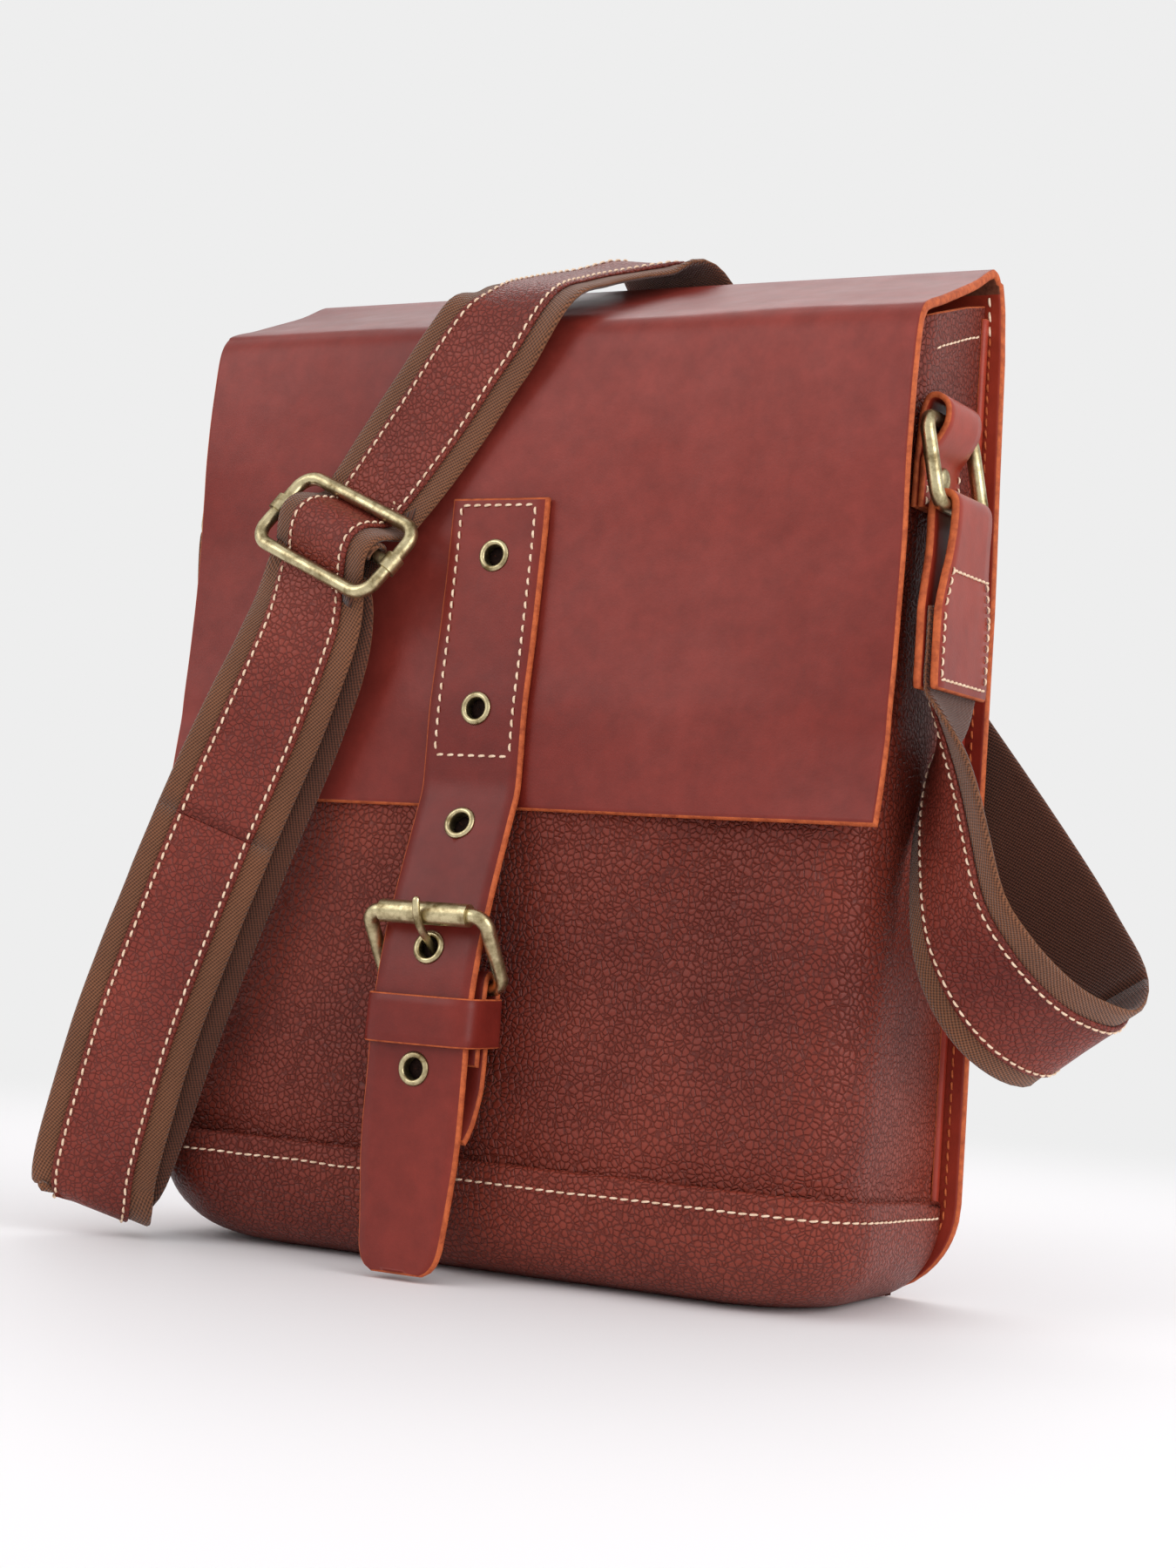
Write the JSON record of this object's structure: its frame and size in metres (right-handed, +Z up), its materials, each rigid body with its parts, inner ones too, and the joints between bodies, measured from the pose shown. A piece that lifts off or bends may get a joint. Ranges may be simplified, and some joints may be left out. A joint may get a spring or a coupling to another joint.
{
  "type": "satchel bag",
  "caption": "Upright leather messenger satchel with a full-width flap, a roller-buckle closure strap over a hidden snap, and an adjustable webbing shoulder strap on two side rings.",
  "frame": {"origin": "middle of the base, on the surface the bag stands on", "axes": "+Z up, -Y out of the front with the flap and buckle, +X to the wearer's left, which is the viewer's right from the front"},
  "size_m": [0.3315, 0.1294, 0.3291],
  "materials": {
    "smooth_leather": "pull-up leather, smooth, semi-gloss",
    "grain_leather": "pebbled leather, satin",
    "webbing": "woven cotton webbing, brown",
    "lining": "plain woven lining",
    "brass": "antique brass, satin"
  },
  "bodies": {
    "root": {"back_panel": "smooth_leather", "front_panel": "grain_leather", "bottom_band": "grain_leather", "left_gusset": "grain_leather", "right_gusset": "grain_leather", "gusset_hem_left": "grain_leather", "gusset_hem_right": "grain_leather", "lining": "lining", "ring_tab_left": "smooth_leather", "ring_tab_right": "smooth_leather", "ring_rivets": "brass", "snap_socket": "brass", "shoulder_webbing": "webbing", "strap_facing": "grain_leather"},
    "flap": {"flap": "smooth_leather", "closure_strap": "smooth_leather", "eyelets": "brass", "buckle_tab": "smooth_leather", "snap_stud": "brass"},
    "buckle": {"buckle_frame": "brass"},
    "roller": {"buckle_roller": "brass"},
    "prong": {"buckle_prong": "brass"},
    "keeper": {"keeper": "smooth_leather"},
    "slider": {"slider_frame": "brass", "slider_bar": "brass"},
    "ring_right": {"ring_right": "brass", "strap_end_tab": "smooth_leather"},
    "ring_left": {"ring_left": "brass"}
  },
  "joints": [
    {"name": "flap_hinge", "type": "hinge", "parent": "root", "child": "flap", "pos_m": [0, 0.0386, 0.3133], "axis": [-1, 0, 0], "range_deg": [0, 110], "deforming": ["shoulder_webbing", "strap_facing"]},
    {"name": "buckle_tilt", "type": "hinge", "parent": "flap", "child": "buckle", "pos_m": [-0.009, -0.046, 0.087], "axis": [1, 0, 0], "range_deg": [-2, 2]},
    {"name": "prong_swing", "type": "hinge", "parent": "buckle", "child": "prong", "pos_m": [-0.009, -0.046, 0.087], "axis": [1, 0, 0], "range_deg": [0, 2]},
    {"name": "roller_spin", "type": "hinge", "parent": "buckle", "child": "roller", "pos_m": [-0.009, -0.06, 0.1085], "axis": [1, 0, 0], "continuous": true},
    {"name": "keeper_slide", "type": "slide", "parent": "flap", "child": "keeper", "axis": [0, 0, 1], "range_m": [-0.002, 0]},
    {"name": "slider_slide", "type": "slide", "parent": "flap", "child": "slider", "axis": [0.4013, 0.4414, 0.8026], "range_m": [-0.006, 0.006]},
    {"name": "ring_right_swing", "type": "hinge", "parent": "root", "child": "ring_right", "pos_m": [0.1262, -0.003, 0.2625], "axis": [0, -1, 0], "range_deg": [0, 50]},
    {"name": "ring_left_swing", "type": "hinge", "parent": "root", "child": "ring_left", "pos_m": [-0.1262, 0.003, 0.2625], "axis": [0, 1, 0], "range_deg": [-6, 50]}
  ]
}
